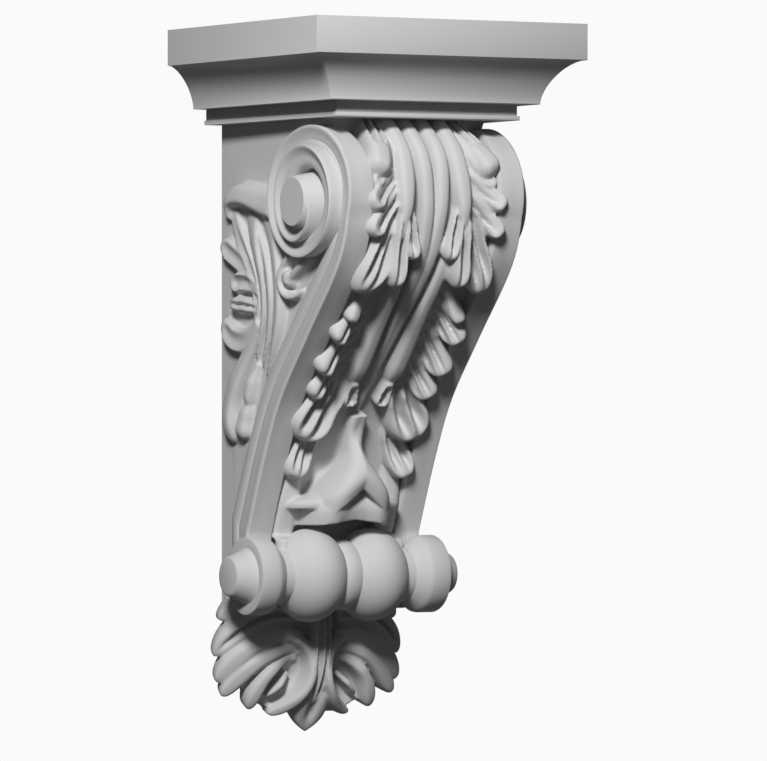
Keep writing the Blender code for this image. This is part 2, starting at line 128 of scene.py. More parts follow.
# Body of the bracket.
# The casting's plain core: an S-shaped outline carried across the full width, flat at the wall. Its front is
# the ground of a channel between two straps, and all the carving stands on it. From here on sizes are in
# millimetres, and each finished mesh is scaled down to metres.
MILLIMETRE = 0.001
low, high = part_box("corbel")
TOP = high.z / MILLIMETRE
FOOT = low.z / MILLIMETRE
CAP_HALF = high.x / MILLIMETRE
CAP_DEPTH = -low.y / MILLIMETRE
SCROLL_TOP = 126.8
SCROLL_HEIGHT = 202.5
SCROLL_DEPTH = 135.0
CORE_TOP = 131.0
HALF = 46.0
CHANNEL_DEPTH = 6.5
BEHIND_WALL = 6.0
ROLLER_OUT = 39.0
ROLLER_HEIGHT = -96.2
RING_RADIUS = 17.7
OUTLINE_STEPS = 90
# The strap's front face: share down the scroll, share of the scroll's depth.
OUTLINE = (
    (-0.02, 0.75),
    (0.0, 0.793),
    (0.069, 0.939),
    (0.164, 0.996),
    (0.25, 0.99),
    (0.349, 0.919),
    (0.514, 0.695),
    (0.667, 0.495),
    (0.807, 0.378),
    (1.0, 0.25),
)


def blend(a, b, share):
    return a + (b - a) * share


def eased(share):
    share = min(max(share, 0.0), 1.0)
    return share * share * (3 - 2 * share)


def outline_out(down):
    """Distance of the strap's front face from the wall, on a smooth curve through OUTLINE."""
    down = min(max(down, OUTLINE[0][0]), 1.0)
    last = len(OUTLINE) - 1
    i = next((k for k in range(last) if down <= OUTLINE[k + 1][0]), last - 1)
    (x0, y0), (x1, y1) = OUTLINE[i], OUTLINE[i + 1]

    def slope(k):
        a, b = OUTLINE[max(k - 1, 0)], OUTLINE[min(k + 1, last)]
        return (b[1] - a[1]) / (b[0] - a[0])

    t = (down - x0) / (x1 - x0)
    width = x1 - x0
    share = (
        (1 + 2 * t) * (1 - t) ** 2 * y0
        + t * (1 - t) ** 2 * width * slope(i)
        + t * t * (3 - 2 * t) * y1
        + t * t * (t - 1) * width * slope(i + 1)
    )
    return share * SCROLL_DEPTH


def height_at(down):
    return SCROLL_TOP - down * SCROLL_HEIGHT


def front_normal(down):
    """Unit vector square to the front outline, as out from the wall and up."""
    step = 0.01
    above, below = max(down - step, 0.0), min(down + step, 1.0)
    run = outline_out(below) - outline_out(above)
    fall = (below - above) * SCROLL_HEIGHT
    length = math.hypot(run, fall)
    return fall / length, run / length


def front(x, z, rise):
    """Point of the front at this place across and this height, rise above the channel's ground."""
    down = (SCROLL_TOP - z) / SCROLL_HEIGHT
    out, up = front_normal(down)
    rise -= CHANNEL_DEPTH
    return Vector((x, -(outline_out(down) + out * rise), z + up * rise))


def shaped_grid(bm, across, along, place):
    """A grid whose every point place(u, v) puts where it belongs, u and v running from 0 to 1."""
    made = bmesh.ops.create_grid(bm, x_segments=across, y_segments=along, size=1)
    for vert in made["verts"]:
        vert.co = place((vert.co.x + 1) / 2, (vert.co.y + 1) / 2)
    return made["verts"]


def closed_tube(bm, across, along, place):
    """A shaped grid whose two long edges meet and whose two ends are filled."""
    last = 1 - 0.5 / across
    verts = shaped_grid(bm, across, along, lambda u, v: place(0.0 if u > last else u, v))
    bmesh.ops.remove_doubles(bm, verts=verts, dist=1e-4)
    verts = [v for v in verts if v.is_valid]
    rim = [e for e in {e for v in verts for e in v.link_edges} if e.is_boundary]
    bmesh.ops.holes_fill(bm, edges=rim, sides=0)


carved = bmesh.new()
carved_pair = bmesh.new()
plain = bmesh.new()
plain_pair = bmesh.new()

front_points = [
    front(0, blend(CORE_TOP, height_at(1.0), k / OUTLINE_STEPS), 0) for k in range(OUTLINE_STEPS + 1)
]
core_foot = ROLLER_HEIGHT - RING_RADIUS
core_outline = [
    Vector((0, BEHIND_WALL, CORE_TOP)),
    Vector((0, front_points[0].y, CORE_TOP)),
    *front_points[1:],
    Vector((0, front_points[-1].y, core_foot)),
    Vector((0, BEHIND_WALL, core_foot)),
]
core_face = carved.faces.new([carved.verts.new((-HALF, p.y, p.z)) for p in core_outline])
pushed = bmesh.ops.extrude_face_region(carved, geom=[core_face])["geom"]
pushed_verts = [g for g in pushed if isinstance(g, bmesh.types.BMVert)]
bmesh.ops.translate(carved, vec=(HALF * 2, 0, 0), verts=pushed_verts)

# Cap.
# The moulded top that carries the shelf: a square fascia, a hollow cove, a recessed neck and a thin lip,
# mitred round the two front corners and cut flat at the wall.
FASCIA_HEIGHT = 18.0
COVE_HEIGHT = 21.6
COVE_INSET = 17.0
COVE_STEP = 0.8
COVE_BEND = 1.27
COVE_SHARE = 0.97
BACK_INSET = 0.86
NECK_HEIGHT = 5.6
NECK_INSET = 25.6
LIP_HEIGHT = 2.2
LIP_PROUD = 1.2
COVE_ROWS = 20
CAP_EDGE = 0.7
CAP_CORNER = math.radians(30)

fascia_foot = TOP - FASCIA_HEIGHT
cove_foot = fascia_foot - COVE_HEIGHT
neck_foot = cove_foot - NECK_HEIGHT
cap_levels = [(TOP, 0.0), (fascia_foot, 0.0)]
for k in range(COVE_ROWS + 1):
    angle = math.radians(90) * k / COVE_ROWS
    inset = COVE_STEP + (COVE_INSET - COVE_STEP) * math.sin(angle) ** COVE_BEND
    fall = COVE_HEIGHT * COVE_SHARE * (1 - max(math.cos(angle), 0.0) ** COVE_BEND)
    cap_levels.append((fascia_foot - fall, inset))
cap_levels += [(cove_foot, COVE_INSET), (cove_foot, NECK_INSET), (neck_foot, NECK_INSET)]
cap_levels += [(neck_foot, NECK_INSET - LIP_PROUD), (neck_foot - LIP_HEIGHT, NECK_INSET - LIP_PROUD)]


def cap_ring(height, inset):
    side_out, front_out = CAP_HALF - inset, CAP_DEPTH - inset
    back_out = CAP_HALF - inset * BACK_INSET
    return (
        (-back_out, 0, height),
        (-side_out, -front_out, height),
        (side_out, -front_out, height),
        (back_out, 0, height),
    )


cap_top = plain.faces.new([plain.verts.new(point) for point in cap_ring(*cap_levels[0])])
cap_face = cap_top
for height, inset in cap_levels[1:]:
    pushed = bmesh.ops.extrude_face_region(plain, geom=[cap_face])["geom"]
    if cap_face is not cap_top:
        bmesh.ops.delete(plain, geom=[cap_face], context="FACES_ONLY")
    cap_face = next(g for g in pushed if isinstance(g, bmesh.types.BMFace))
    for loop, point in zip(cap_face.loops, cap_ring(height, inset)):
        loop.vert.co = point
bmesh.ops.recalc_face_normals(plain, faces=plain.faces)
crisp = [
    e for e in plain.edges if e.calc_face_angle(0) > CAP_CORNER and max(v.co.y for v in e.verts) < -1
]
bmesh.ops.bevel(
    plain,
    geom=crisp,
    offset=CAP_EDGE,
    affect="EDGES",
    segments=2,
    profile=0.5,
    material=-1,
    clamp_overlap=True,
)

# Straps and volutes.
# A moulded strap climbs each edge of the front and rolls up at the top into a volute on the side, each turn
# standing further out than the last, to a round eye. They are modelled in the pattern, part of the casting.
STRAP_FRONT = 14.5
STRAP_SIDE = 24.0
STRAP_PROUD = 4.0
STRAP_OUTER = HALF + STRAP_PROUD
STRAP_INNER = STRAP_OUTER - STRAP_FRONT
VOLUTE_CENTRE = (95.5, 94.5)
EYE_CENTRE = (98.0, 89.3)
VOLUTE_RADIUS = 41.5
VOLUTE_PITCH = 10.5
VOLUTE_SQUASH = 0.86
VOLUTE_RISE = 6.5
BAND_WIDTH = 11.6
BAND_TURN = math.radians(760)
# Angle where the last turn starts to close on the eye, the angle it takes, and how far it draws in.
BAND_CLOSE = (math.radians(520), math.radians(240), 8.5)
BAND_LIFT = 3.2
ROLLED_BY = math.radians(170)
RISEN_BY = math.radians(330)
SPREAD_BY = math.radians(120)
STRAP_STEPS = 240
EYE_STEPS = 72
VOLUTE_START = math.radians(-24)
RISING_SHARE = 0.36
EYE_RADIUS = 12.5
EYE_HEIGHT = 14.5
EYE_DRAFT = 3.4
# The moulding's side face: share of its width, depth on the strap, depth on the volute.
SECTION = (
    (0.00, 0.8, 0.7),
    (0.03, 0.2, 0.1),
    (0.08, 0.0, 0.0),
    (0.15, 0.3, 0.4),
    (0.26, 0.8, 1.4),
    (0.40, 0.9, 2.2),
    (0.47, 1.2, 2.4),
    (0.52, 2.1, 2.5),
    (0.57, 1.4, 2.5),
    (0.66, 1.1, 2.5),
    (0.80, 1.5, 2.8),
    (0.90, 2.3, 3.4),
    (0.96, 3.4, 4.6),
    (1.00, 5.2, 6.4),
)


def band_section(outer, inner, width, rolled):
    """Lateral place and depth round the moulding's section, from the strap's to the volute's by rolled."""
    across = [(inner, 1.4), (inner + 0.5, 0.4), (inner + 1.6, 0.0), (blend(inner, outer, 0.5), 0.7)]
    across += [(outer - 2.2, 0.0)]
    side_face = [(outer - blend(flat, curled, rolled), width * share) for share, flat, curled in SECTION]
    return across + side_face + [(inner, width)]


def volute_point(angle, radius):
    """Point of the spiral, as out from the wall and height; its centre drifts down towards the eye."""
    share = min(max(angle / BAND_CLOSE[0], 0.0), 1.0)
    squash = blend(VOLUTE_SQUASH, 1.0, share * share)
    out = blend(VOLUTE_CENTRE[0], EYE_CENTRE[0], share) + radius * math.cos(angle)
    up = blend(VOLUTE_CENTRE[1], EYE_CENTRE[1], share) + radius * squash * math.sin(angle)
    return out, up


def strap_station(v):
    """The strap from roller (0) to eye (1): outer edge, direction inwards and section sizes."""
    turn_height = VOLUTE_CENTRE[1] + VOLUTE_RADIUS * 1.04 * VOLUTE_SQUASH * math.sin(VOLUTE_START)
    turn_down = (SCROLL_TOP - turn_height) / SCROLL_HEIGHT
    if v < RISING_SHARE:
        down = blend(1.08, turn_down, v / RISING_SHARE)
        out, up = front_normal(min(down, 1.0))
        width = blend(STRAP_SIDE, STRAP_SIDE * 0.8, eased(v / RISING_SHARE))
        return (outline_out(down), height_at(down)), (-out, -up), (STRAP_OUTER, STRAP_INNER, width, 0.0)
    angle = blend(VOLUTE_START, BAND_TURN, (v - RISING_SHARE) / (1 - RISING_SHARE))
    closing = eased((angle - BAND_CLOSE[0]) / BAND_CLOSE[1])
    radius = VOLUTE_RADIUS - VOLUTE_PITCH * angle / (2 * math.pi) - BAND_CLOSE[2] * closing
    rolled = eased((angle - VOLUTE_START) / ROLLED_BY)
    width = blend(STRAP_SIDE * 0.8, BAND_WIDTH, rolled)
    outer = STRAP_OUTER + VOLUTE_RISE * eased(angle / RISEN_BY) + BAND_LIFT * closing
    inner = blend(STRAP_INNER, HALF - 6, eased(angle / SPREAD_BY))
    return volute_point(angle, radius), (-math.cos(angle), -math.sin(angle)), (outer, inner, width, rolled)


def strap_place(u, v):
    (out, up), (in_out, in_up), sizes = strap_station(v)
    ring = band_section(*sizes)
    lateral, depth = ring[round(u * len(ring)) % len(ring)]
    return Vector((lateral, -(out + in_out * depth), up + in_up * depth))


section_points = len(SECTION) + 6
closed_tube(plain_pair, section_points, STRAP_STEPS, strap_place)
eye_outline = [(HALF - 4, EYE_RADIUS + EYE_DRAFT), (HALF + EYE_HEIGHT - 0.6, EYE_RADIUS)]
eye_outline += [(HALF + EYE_HEIGHT, EYE_RADIUS - 0.6), (HALF + EYE_HEIGHT, 0.0)]
eye_verts = [plain_pair.verts.new((x, -EYE_CENTRE[0] - radius, EYE_CENTRE[1])) for x, radius in eye_outline]
eye_edges = [plain_pair.edges.new(pair) for pair in zip(eye_verts, eye_verts[1:])]
bmesh.ops.spin(
    plain_pair,
    geom=eye_verts + eye_edges,
    cent=(0, -EYE_CENTRE[0], EYE_CENTRE[1]),
    axis=(1, 0, 0),
    angle=2 * math.pi,
    steps=EYE_STEPS,
    use_merge=True,
)
bmesh.ops.remove_doubles(plain_pair, verts=plain_pair.verts, dist=1e-4)
bmesh.ops.holes_fill(plain_pair, edges=[e for e in plain_pair.edges if e.is_boundary], sides=0)

# Reeds and stems.
# Rounded reeds run down the middle of the channel between the leaf stems; below the bulge a narrow reed is
# left between two ribs.
LEAF_RELIEF = 8.0
PETAL_STEPS = 44
PETAL_SIDES = 52
UPPER_SHARE = 0.8
UNDERSIDE = 0.96
TIP_CROWDING = 1.4
CROWN_SQUARE = 3.8
CROWN_ROUND = 0.48
SLIT_DEPTH = 0.85
DISH_HALF = 0.75


def curve_point(points, share):
    """Point on the Bezier curve with these control points, as a pair."""
    while len(points) > 1:
        points = [(blend(a[0], b[0], share), blend(a[1], b[1], share)) for a, b in zip(points, points[1:])]
    return points[0]


def three_way(values, share):
    """Base, middle and tip value read at a share of the length."""
    if share < 0.5:
        return blend(values[0], values[1], eased(share * 2))
    return blend(values[1], values[2], eased(share * 2 - 1))


def petal(
    bm,
    ground,
    spine,
    widths,
    rises,
    slits=0,
    gap=0.9,
    dish=0.0,
    blunt=0.3,
    point=0.5,
    sink=3.0,
    lean=0.0,
    slit_end=0.96,
    tilt=0.0,
):
    """A rounded piece of carving along a curve on its ground, widths and rises at base, middle and tip.

    Slits are grooves as wide as gap that close at slit_end and may lean to one side. A dish hollows its end
    like a spoon. The last share of the length, blunt, rounds off into the tip, or comes to a point where
    point is 1. Tilt raises one side, and the underside lies sink below the ground.
    """
    cuts = [(2 * k + 1 - slits) / (slits + 1) + lean for k in range(slits)]

    def place(u, v):
        s = 1 - (1 - v) ** TIP_CROWDING
        x, z = curve_point(spine, s)
        ax, az = curve_point(spine, min(s + 0.02, 1.0))
        bx, bz = curve_point(spine, max(s - 0.02, 0.0))
        here = ground(x, z, 0.0)
        along = ground(x + ax - bx, z + az - bz, 0.0) - here
        outward = (ground(x, z, 2.0) - here).normalized()
        lateral = along.cross(outward).normalized()
        end = max(1 - max((s - 1 + blunt) / blunt, 0.0) ** 2, 0.0) ** point
        full = three_way(widths, s) / 2
        half = full * max(end, 0.03)
        crown = three_way(rises, s) * blend(1.0, end, 0.8)
        if u > UPPER_SHARE:
            t = UNDERSIDE * (1 - 2 * (u - UPPER_SHARE) / (1 - UPPER_SHARE))
            return here + lateral * (t * half) - outward * sink
        t = -math.cos(math.pi * u / UPPER_SHARE)
        height = crown * max(1 - abs(t) ** CROWN_SQUARE, 0.0) ** CROWN_ROUND * (1 + tilt * t)
        window = eased(s / 0.12) * (1 - eased((s - slit_end) / 0.26 + 1))
        for cut in cuts:
            height -= crown * SLIT_DEPTH * window * math.exp(-(((t - cut) * half / gap) ** 2))
        spoon = max(1 - (t / DISH_HALF) ** 2, 0.0) * eased(s / 0.5) * (1 - eased((s - 0.8) / 0.16))
        height -= dish * crown * spoon
        return here + lateral * (t * half) + outward * height

    closed_tube(bm, PETAL_SIDES, PETAL_STEPS, place)


petal(
    carved_pair,
    front,
    ((4.8, 131), (5.4, 112), (5.2, 92), (2.0, 70), (1.5, 40), (1.5, 8), (0, -20)),
    (9.8, 7.6, 3.2),
    (LEAF_RELIEF * 1.65, LEAF_RELIEF * 0.8, LEAF_RELIEF * 0.55),
)
petal(
    carved_pair,
    front,
    ((15, 131), (14.0, 112), (17, 92), (17, 66)),
    (9.8, 10.5, 4.0),
    (LEAF_RELIEF * 1.75, LEAF_RELIEF * 1.25, LEAF_RELIEF * 1.0),
)
petal(
    carved_pair,
    front,
    ((14, 72), (10, 55), (11, 30), (10.5, -2)),
    (6.0, 8.0, 10.5),
    (LEAF_RELIEF * 0.6, LEAF_RELIEF * 0.9, LEAF_RELIEF * 1.1),
    blunt=0.12,
)

# Leaves on the front.
# Acanthus lobes spring from both sides of the stems and lap over the straps: short ones down the edge of the
# bulge, ending in a fan of three, then a second row, low at the rib and high at the tips, down to the calyx.
# Curve as places across and heights, widths, rises as shares of the relief, slits, their gap, dish,
# blunt end, lean of the slits and where they end.
LOBES = (
    (((23, 129), (25.5, 117), (33.5, 101)), (11, 13.5, 14), (1.5, 1.5, 1.9), 2, 0.9, 0.0, 0.18, 0.0, 0.6),
    (((19, 123), (21, 112), (26.5, 102)), (2.6, 2.6, 3), (1.1, 1.1, 1.1), 0, 0.8, 0.0, 0.24, 0.0, 0.9),
    (((20, 112), (26, 105), (35, 96)), (4, 7, 9), (0.6, 0.9, 1.5), 0, 0.8, 0.25, 0.24, 0.0, 0.9),
    (((18.5, 106), (25, 98), (38.5, 85.5)), (4, 9, 12.5), (0.7, 1.0, 1.9), 1, 1.0, 0.25, 0.2, 0.3, 0.9),
    (((22, 95), (27, 90), (33, 84)), (3, 4, 5), (0.6, 0.8, 1.1), 0, 0.8, 0.0, 0.24, 0.0, 0.9),
    (((18.5, 96), (25, 86), (37.5, 72.5)), (4, 9, 12), (0.7, 1.0, 1.9), 1, 1.0, 0.25, 0.2, 0.3, 0.9),
    (((17.5, 96), (20, 74), (35.5, 45)), (3, 13, 20), (1.1, 1.5, 2.3), 2, 2.1, 0.0, 0.3, -0.04, 0.96),
    (((16.5, 94), (18, 71), (18, 49)), (3, 8, 12), (1.1, 1.4, 2.4), 1, 1.5, 0.0, 0.24, 0.0, 0.94),
    (((15.5, 92), (12.5, 76), (10, 60.5)), (3, 7, 9.5), (1.0, 1.1, 1.8), 1, 1.3, 0.0, 0.24, 0.0, 0.94),
    (((14, 50), (24, 41), (32.5, 31.5)), (3, 6, 10), (0.1, 0.4, 1.7), 0, 0.8, 0.0, 0.2, 0.0, 0.9),
    (((13, 41), (23, 33), (36.5, 22.5)), (4, 11, 15), (0.1, 0.5, 1.9), 2, 1.1, 0.0, 0.16, 0.36, 0.94),
    (((13, 30), (23, 20), (36.5, 6.5)), (4, 12, 16), (0.1, 0.5, 1.9), 2, 1.2, 0.0, 0.16, 0.36, 0.94),
    (((12, 16), (21, 7), (35, -6)), (4, 12, 15), (0.2, 0.5, 1.7), 2, 1.2, 0.0, 0.16, 0.3, 0.94),
    (((13, 5), (21, -6), (33, -28)), (4, 21, 30), (0.2, 1.4, 2.3), 2, 2.8, 0.0, 0.36, -0.04, 0.98),
    (((10, 0), (10, -4), (8.5, -12)), (5, 7, 8.5), (1.0, 1.2, 1.35), 0, 0.8, 0.6, 0.24, 0.0, 0.9),
    (((17, -13), (23, -29), (34, -47)), (3, 12, 20), (0.05, 0.7, 2.3), 2, 1.9, 0.0, 0.4, 0.0, 0.94),
)

for spine, widths, shares, slits, gap, dish, blunt, lean, slit_end in LOBES:
    rises = tuple(LEAF_RELIEF * share for share in shares)
    petal(carved_pair, front, spine, widths, rises, slits, gap, dish, blunt, lean=lean, slit_end=slit_end)

# Panels above the roller.
# A smooth tongue fills the channel on each side below the last leaves and runs down behind the roller.
PANEL_WIDTH = 13.5
PANEL_RELIEF = 7.2
petal(
    carved_pair,
    front,
    ((28.5, -44), (29, -60), (29, -90)),
    (PANEL_WIDTH * 0.8, PANEL_WIDTH, PANEL_WIDTH),
    (PANEL_RELIEF * 0.4, PANEL_RELIEF, PANEL_RELIEF),
    blunt=0.05,
)

# Calyx.
# The middle stem ends in a tulip cup that stands out over the roller: two front petals parted by a groove
# that opens into a notch, a side petal on each side, and an inner ring of petals that shows below.
CALYX_REACH = 33.0
CALYX_SQUARE = 3.4
CALYX_PETAL = 0.88
CALYX_FLARE = (0.32, 0.52)
CALYX_SWELL = (0.12, 0.78)
CALYX_STEM = 6.5
CALYX_SKIRT = 0.85
CALYX_HOLLOW = 6.0
CALYX_GRID = (130, 70)
# Top, half width of the neck, half width and reach of the rim, foot, notch, then depth and angle of the fold:
# the front petals, the side petals and the inner ring.
CALYX_CUPS = (
    (-16.0, 4.5, 20.0, CALYX_REACH, -68.0, 15.0, 0.0, 8),
    (-46.0, 12.0, 31.5, 22.0, -63.0, 0.0, 0.0, 8),
    (-28.0, 4.5, 23.0, CALYX_REACH - 2.5, -71.5, 3.0, 4.0, 14),
)


def cup(top, neck, half, reach, foot, notch, fold, valley):
    """A flaring bell on the channel's ground, hollow below; its rim rises in a notch at the middle."""

    def place(u, v):
        low_down = min(v / CALYX_SKIRT, 1.0)
        under = max((v - CALYX_SKIRT) / (1 - CALYX_SKIRT), 0.0)
        wide = blend(neck, half, eased((low_down - CALYX_FLARE[0]) / CALYX_FLARE[1]))
        deep = blend(CALYX_STEM, reach, eased((low_down - CALYX_SWELL[0]) / CALYX_SWELL[1]))
        if u > UPPER_SHARE:
            across = 2 * (u - UPPER_SHARE) / (1 - UPPER_SHARE) - 1
            point = front(wide * across, blend(top, foot, low_down), -5)
        else:
            angle = math.pi * u / UPPER_SHARE
            off = abs(math.degrees(angle) - 90)
            bend = math.cos(angle)
            spread = abs(bend) ** (2 / CALYX_SQUARE)
            rim = foot + notch * max(1 - spread / CALYX_PETAL, 0.0)
            x = wide * math.copysign(spread, bend)
            groove = math.exp(-((off / valley) ** 2))
            rise = deep * math.sin(angle) ** (2 / CALYX_SQUARE) - fold * eased(low_down * 1.3) * groove
            ground = front(0, blend(top, foot, low_down), 0)
            point = Vector((x, ground.y - rise, blend(top, rim, low_down)))
        hollow = front(0, foot + notch + CALYX_HOLLOW, 2)
        return point.lerp(hollow, under)

    return place


for cup_sizes in CALYX_CUPS:
    closed_tube(carved, *CALYX_GRID, cup(*cup_sizes))

# Side carving.
# On each side, below the volute, folded ribbons and long strands sweep down against the strap, with lobes
# towards the wall, all low relief on the flat side of the body.
SIDE_RELIEF = 6.2
SIDE_SLIT = 0.8
# Curve as distances from the wall and heights, widths, rises as shares of the relief, slits, dish and tilt.
SIDE_CARVING = (
    (((58, 89), (42, 91), (26, 99), (11, 97), (13, 82)), (16, 12, 6), (0.9, 1.2, 1.2), 0, 0.0, 0.2),
    (((14, 95), (14, 80), (26, 70), (46, 56), (47, 40), (36, 24)), (8, 9.5, 6), (0.3, 0.9, 0.7), 0, 0.45, 0.0),
    (((36, 88), (30, 76), (44, 64), (58, 52), (52, 34), (38, 12)), (13, 8.5, 4), (0.3, 0.9, 0.6), 0, 0.0, 0.2),
    (((43, 73), (50, 62), (66, 48), (60, 32), (44, 8)), (4, 9, 5), (0.5, 1.0, 0.6), 0, 0.0, 0.2),
    (((46, 88), (54, 70), (70, 54), (72, 38), (58, 18), (48, 4)), (9, 9.5, 5), (0.3, 0.9, 0.5), 0, 0.0, 0.2),
    (((38, 56), (24, 61), (5, 71.5)), (9, 12, 13), (0.5, 0.9, 1.1), 0, 0.45, 0.0),
    (((44, 46), (32, 54), (15, 49)), (7, 10, 12), (0.7, 1.0, 1.1), 0, 0.6, 0.0),
    (((43, 37), (32, 40), (15, 40)), (6, 8.5, 9), (0.6, 0.9, 1.1), 1, 0.0, 0.0),
    (((44, 30), (32, 18), (16, 18), (7, 33)), (9, 13, 13), (0.7, 1.0, 1.1), 0, 0.4, 0.0),
    (((42, 26), (28, 10), (14, -2), (10, -18), (18, -29)), (8, 14, 15), (0.6, 1.0, 1.2), 0, 0.0, 0.2),
    (((35, -4), (29, -16), (26, -28)), (4, 9, 13), (0.3, 0.9, 1.1), 0, 0.0, 0.0),
    (((41, 10), (35, -1), (32, -12)), (4, 7, 7), (0.4, 0.9, 0.9), 0, 0.0, 0.0),
    (
        ((96, 66), (74, 67), (61, 56), (65, 39), (82, 39), (86, 47)),
        (4.5, 4.2, 3.6),
        (0.9, 1.1, 0.9),
        0,
        0.0,
        0.0,
    ),
    (((72, 53), (76, 52), (80, 51)), (8, 9, 8), (0.9, 1.1, 0.9), 0, 0.0, 0.0),
    (((78, 52), (88, 58), (98, 63)), (4, 5, 5), (0.9, 0.9, 0.7), 0, 0.0, 0.0),
)


def side(out, z, rise):
    """Point of the right side this far out from the wall and this high, rise above its ground."""
    return Vector((HALF + rise, -out, z))


for spine, widths, shares, slits, dish, tilt in SIDE_CARVING:
    rises = tuple(SIDE_RELIEF * share for share in shares)
    petal(carved_pair, side, spine, widths, rises, slits, SIDE_SLIT, dish, tilt=tilt)

# Roller.
# A turned form across the foot of the scroll, cast with it: a ring between two balls, then a neck, a disc
# and a tapered button at each end.
ROLLER_HALF = 54.5
BALL_RADIUS = 23.5
BALL_CENTRE = 17.6
BALL_LENGTH = 0.78
DISC_RADIUS = 19.6
DISC_THICKNESS = 12.5
ROLLER_NECK = 13.5
BUTTON_RADIUS = 13.0
BUTTON_LENGTH = 9.5
BALL_ROWS = 24
ROLLER_STEPS = 112

# Half of the profile, from the middle out: distance along the roller, radius.
profile = [(0.0, RING_RADIUS), (2.4, RING_RADIUS)]
ball_start = -math.acos(RING_RADIUS / BALL_RADIUS * 0.93)
ball_end = math.acos(ROLLER_NECK / BALL_RADIUS)
for k in range(BALL_ROWS + 1):
    angle = blend(ball_start, ball_end, k / BALL_ROWS)
    profile.append((BALL_CENTRE + math.sin(angle) * BALL_RADIUS * BALL_LENGTH, math.cos(angle) * BALL_RADIUS))
disc = ROLLER_HALF - DISC_THICKNESS
profile += [
    (disc - 4.5, ROLLER_NECK),
    (disc, DISC_RADIUS * 0.93),
    (disc + 1.5, DISC_RADIUS - 0.3),
    (disc + 3, DISC_RADIUS),
    (ROLLER_HALF - 1, DISC_RADIUS),
    (ROLLER_HALF - 0.3, DISC_RADIUS - 0.3),
    (ROLLER_HALF, DISC_RADIUS - 1),
    (ROLLER_HALF - 0.6, BUTTON_RADIUS + 1),
    (ROLLER_HALF + 1, BUTTON_RADIUS),
    (ROLLER_HALF + BUTTON_LENGTH - 1.2, BUTTON_RADIUS * 0.78),
    (ROLLER_HALF + BUTTON_LENGTH - 0.3, BUTTON_RADIUS * 0.73),
    (ROLLER_HALF + BUTTON_LENGTH, BUTTON_RADIUS * 0.66),
    (ROLLER_HALF + BUTTON_LENGTH, 0.0),
]
roller_outline = [(-along, radius) for along, radius in reversed(profile[1:])] + profile
roller_verts = [
    plain.verts.new((along, -ROLLER_OUT - radius, ROLLER_HEIGHT)) for along, radius in roller_outline
]
roller_edges = [plain.edges.new(pair) for pair in zip(roller_verts, roller_verts[1:])]
bmesh.ops.spin(
    plain,
    geom=roller_verts + roller_edges,
    cent=(0, -ROLLER_OUT, ROLLER_HEIGHT),
    axis=(1, 0, 0),
    angle=2 * math.pi,
    steps=ROLLER_STEPS,
    use_merge=True,
)
bmesh.ops.remove_doubles(plain, verts=plain.verts, dist=1e-4)

# Drop leaf.
# The leaf that hangs below the roller flat against the wall: its lobes spring from the middle stem, sweep
# out and curl over, with a deep oval pit on each side of the stem.
DROP_HALF = 52.0
DROP_RELIEF = 7.0
DROP_SINK = 16.0
DROP_TOP = -104.0
DROP_SLIT = 1.0
DROP_BACK_GRID = (100, 60)
DROP_BACK_HALF = 0.91
DROP_BACK_LENGTH = 0.85
DROP_BACK_TAPER = 0.97
# Curve as places across and heights, widths, rises as shares of the relief, slits, dish, blunt end
# and its point.
DROP_LOBES = (
    (((12, -108), (34, -105), (51, -118.5)), (10, 15, 14), (0.6, 0.9, 0.9), 0, 0.2, 0.4, 0.6),
    (((10, -117), (32, -112), (44, -124), (53, -137)), (10, 13.5, 14.5), (0.7, 1.1, 0.9), 1, 0.0, 0.4, 0.6),
    (((10, -128), (26, -121), (42, -134), (51.5, -150)), (8, 10.5, 12.5), (0.8, 1.2, 0.9), 0, 0.0, 0.3, 0.45),
    (((9, -137), (17, -127), (36, -138), (49, -157)), (3, 8, 12), (0.1, 1.2, 0.9), 0, 0.0, 0.3, 0.45),
    (((10, -139), (22, -135), (33, -150), (34.5, -164)), (3, 7, 10), (0.1, 1.2, 0.9), 0, 0.0, 0.3, 0.5),
    (
        ((13, -128), (0, -133), (0, -152), (13, -164), (23.5, -166.5)),
        (6, 5.5, 9),
        (1.1, 1.6, 0.6),
        0,
        0.0,
        0.4,
        0.5,
    ),
    (((14, -146), (19, -151), (26, -158)), (2.6, 3.2, 3), (0.1, 0.8, 0.6), 0, 0.0, 0.3, 0.6),
)
# Place across and height of the pit's middle, its half length and half width, and its depth.
PIT = (18.5, -151.0, 11.0, 5.5, 7.0)
DROP_EDGE = 3.0
DROP_DOME = 12.0


def drop(x, z, rise):
    """Point of the drop leaf's domed ground, rise above it."""
    fall = min(max((DROP_TOP - z) / (DROP_TOP - FOOT), 0.0), 1.0)
    crown = max(1 - abs(x / (DROP_HALF + 3)) ** 2.2, 0.0)
    out = DROP_EDGE + DROP_DOME * crown * (1 - fall ** 2.2)
    lean = 0.5 * x / DROP_HALF
    return Vector((x + lean * rise * 0.5, -(out + rise * (0.6 + 0.4 * crown)), z - rise * 0.35 * fall))


def drop_back(u, v):
    """The leaf's ground, pitted in front and closed behind the wall."""
    taper = math.sqrt(max(1 - (v * DROP_BACK_TAPER) ** 4, 0.0))
    across = -math.cos(math.pi * u / UPPER_SHARE)
    if u > UPPER_SHARE:
        across = 1 - 2 * (u - UPPER_SHARE) / (1 - UPPER_SHARE)
    x = across * taper * DROP_BACK_HALF * DROP_HALF
    z = blend(DROP_TOP, FOOT, v * DROP_BACK_LENGTH)
    far, low_down = abs(x) - PIT[0], PIT[1] - z
    run, aside = (far + low_down) / math.sqrt(2), (far - low_down) / math.sqrt(2)
    point = drop(x, z, -PIT[4] * math.exp(-((run / PIT[2]) ** 2) - (aside / PIT[3]) ** 2))
    if u > UPPER_SHARE:
        point.y = BEHIND_WALL
    return point


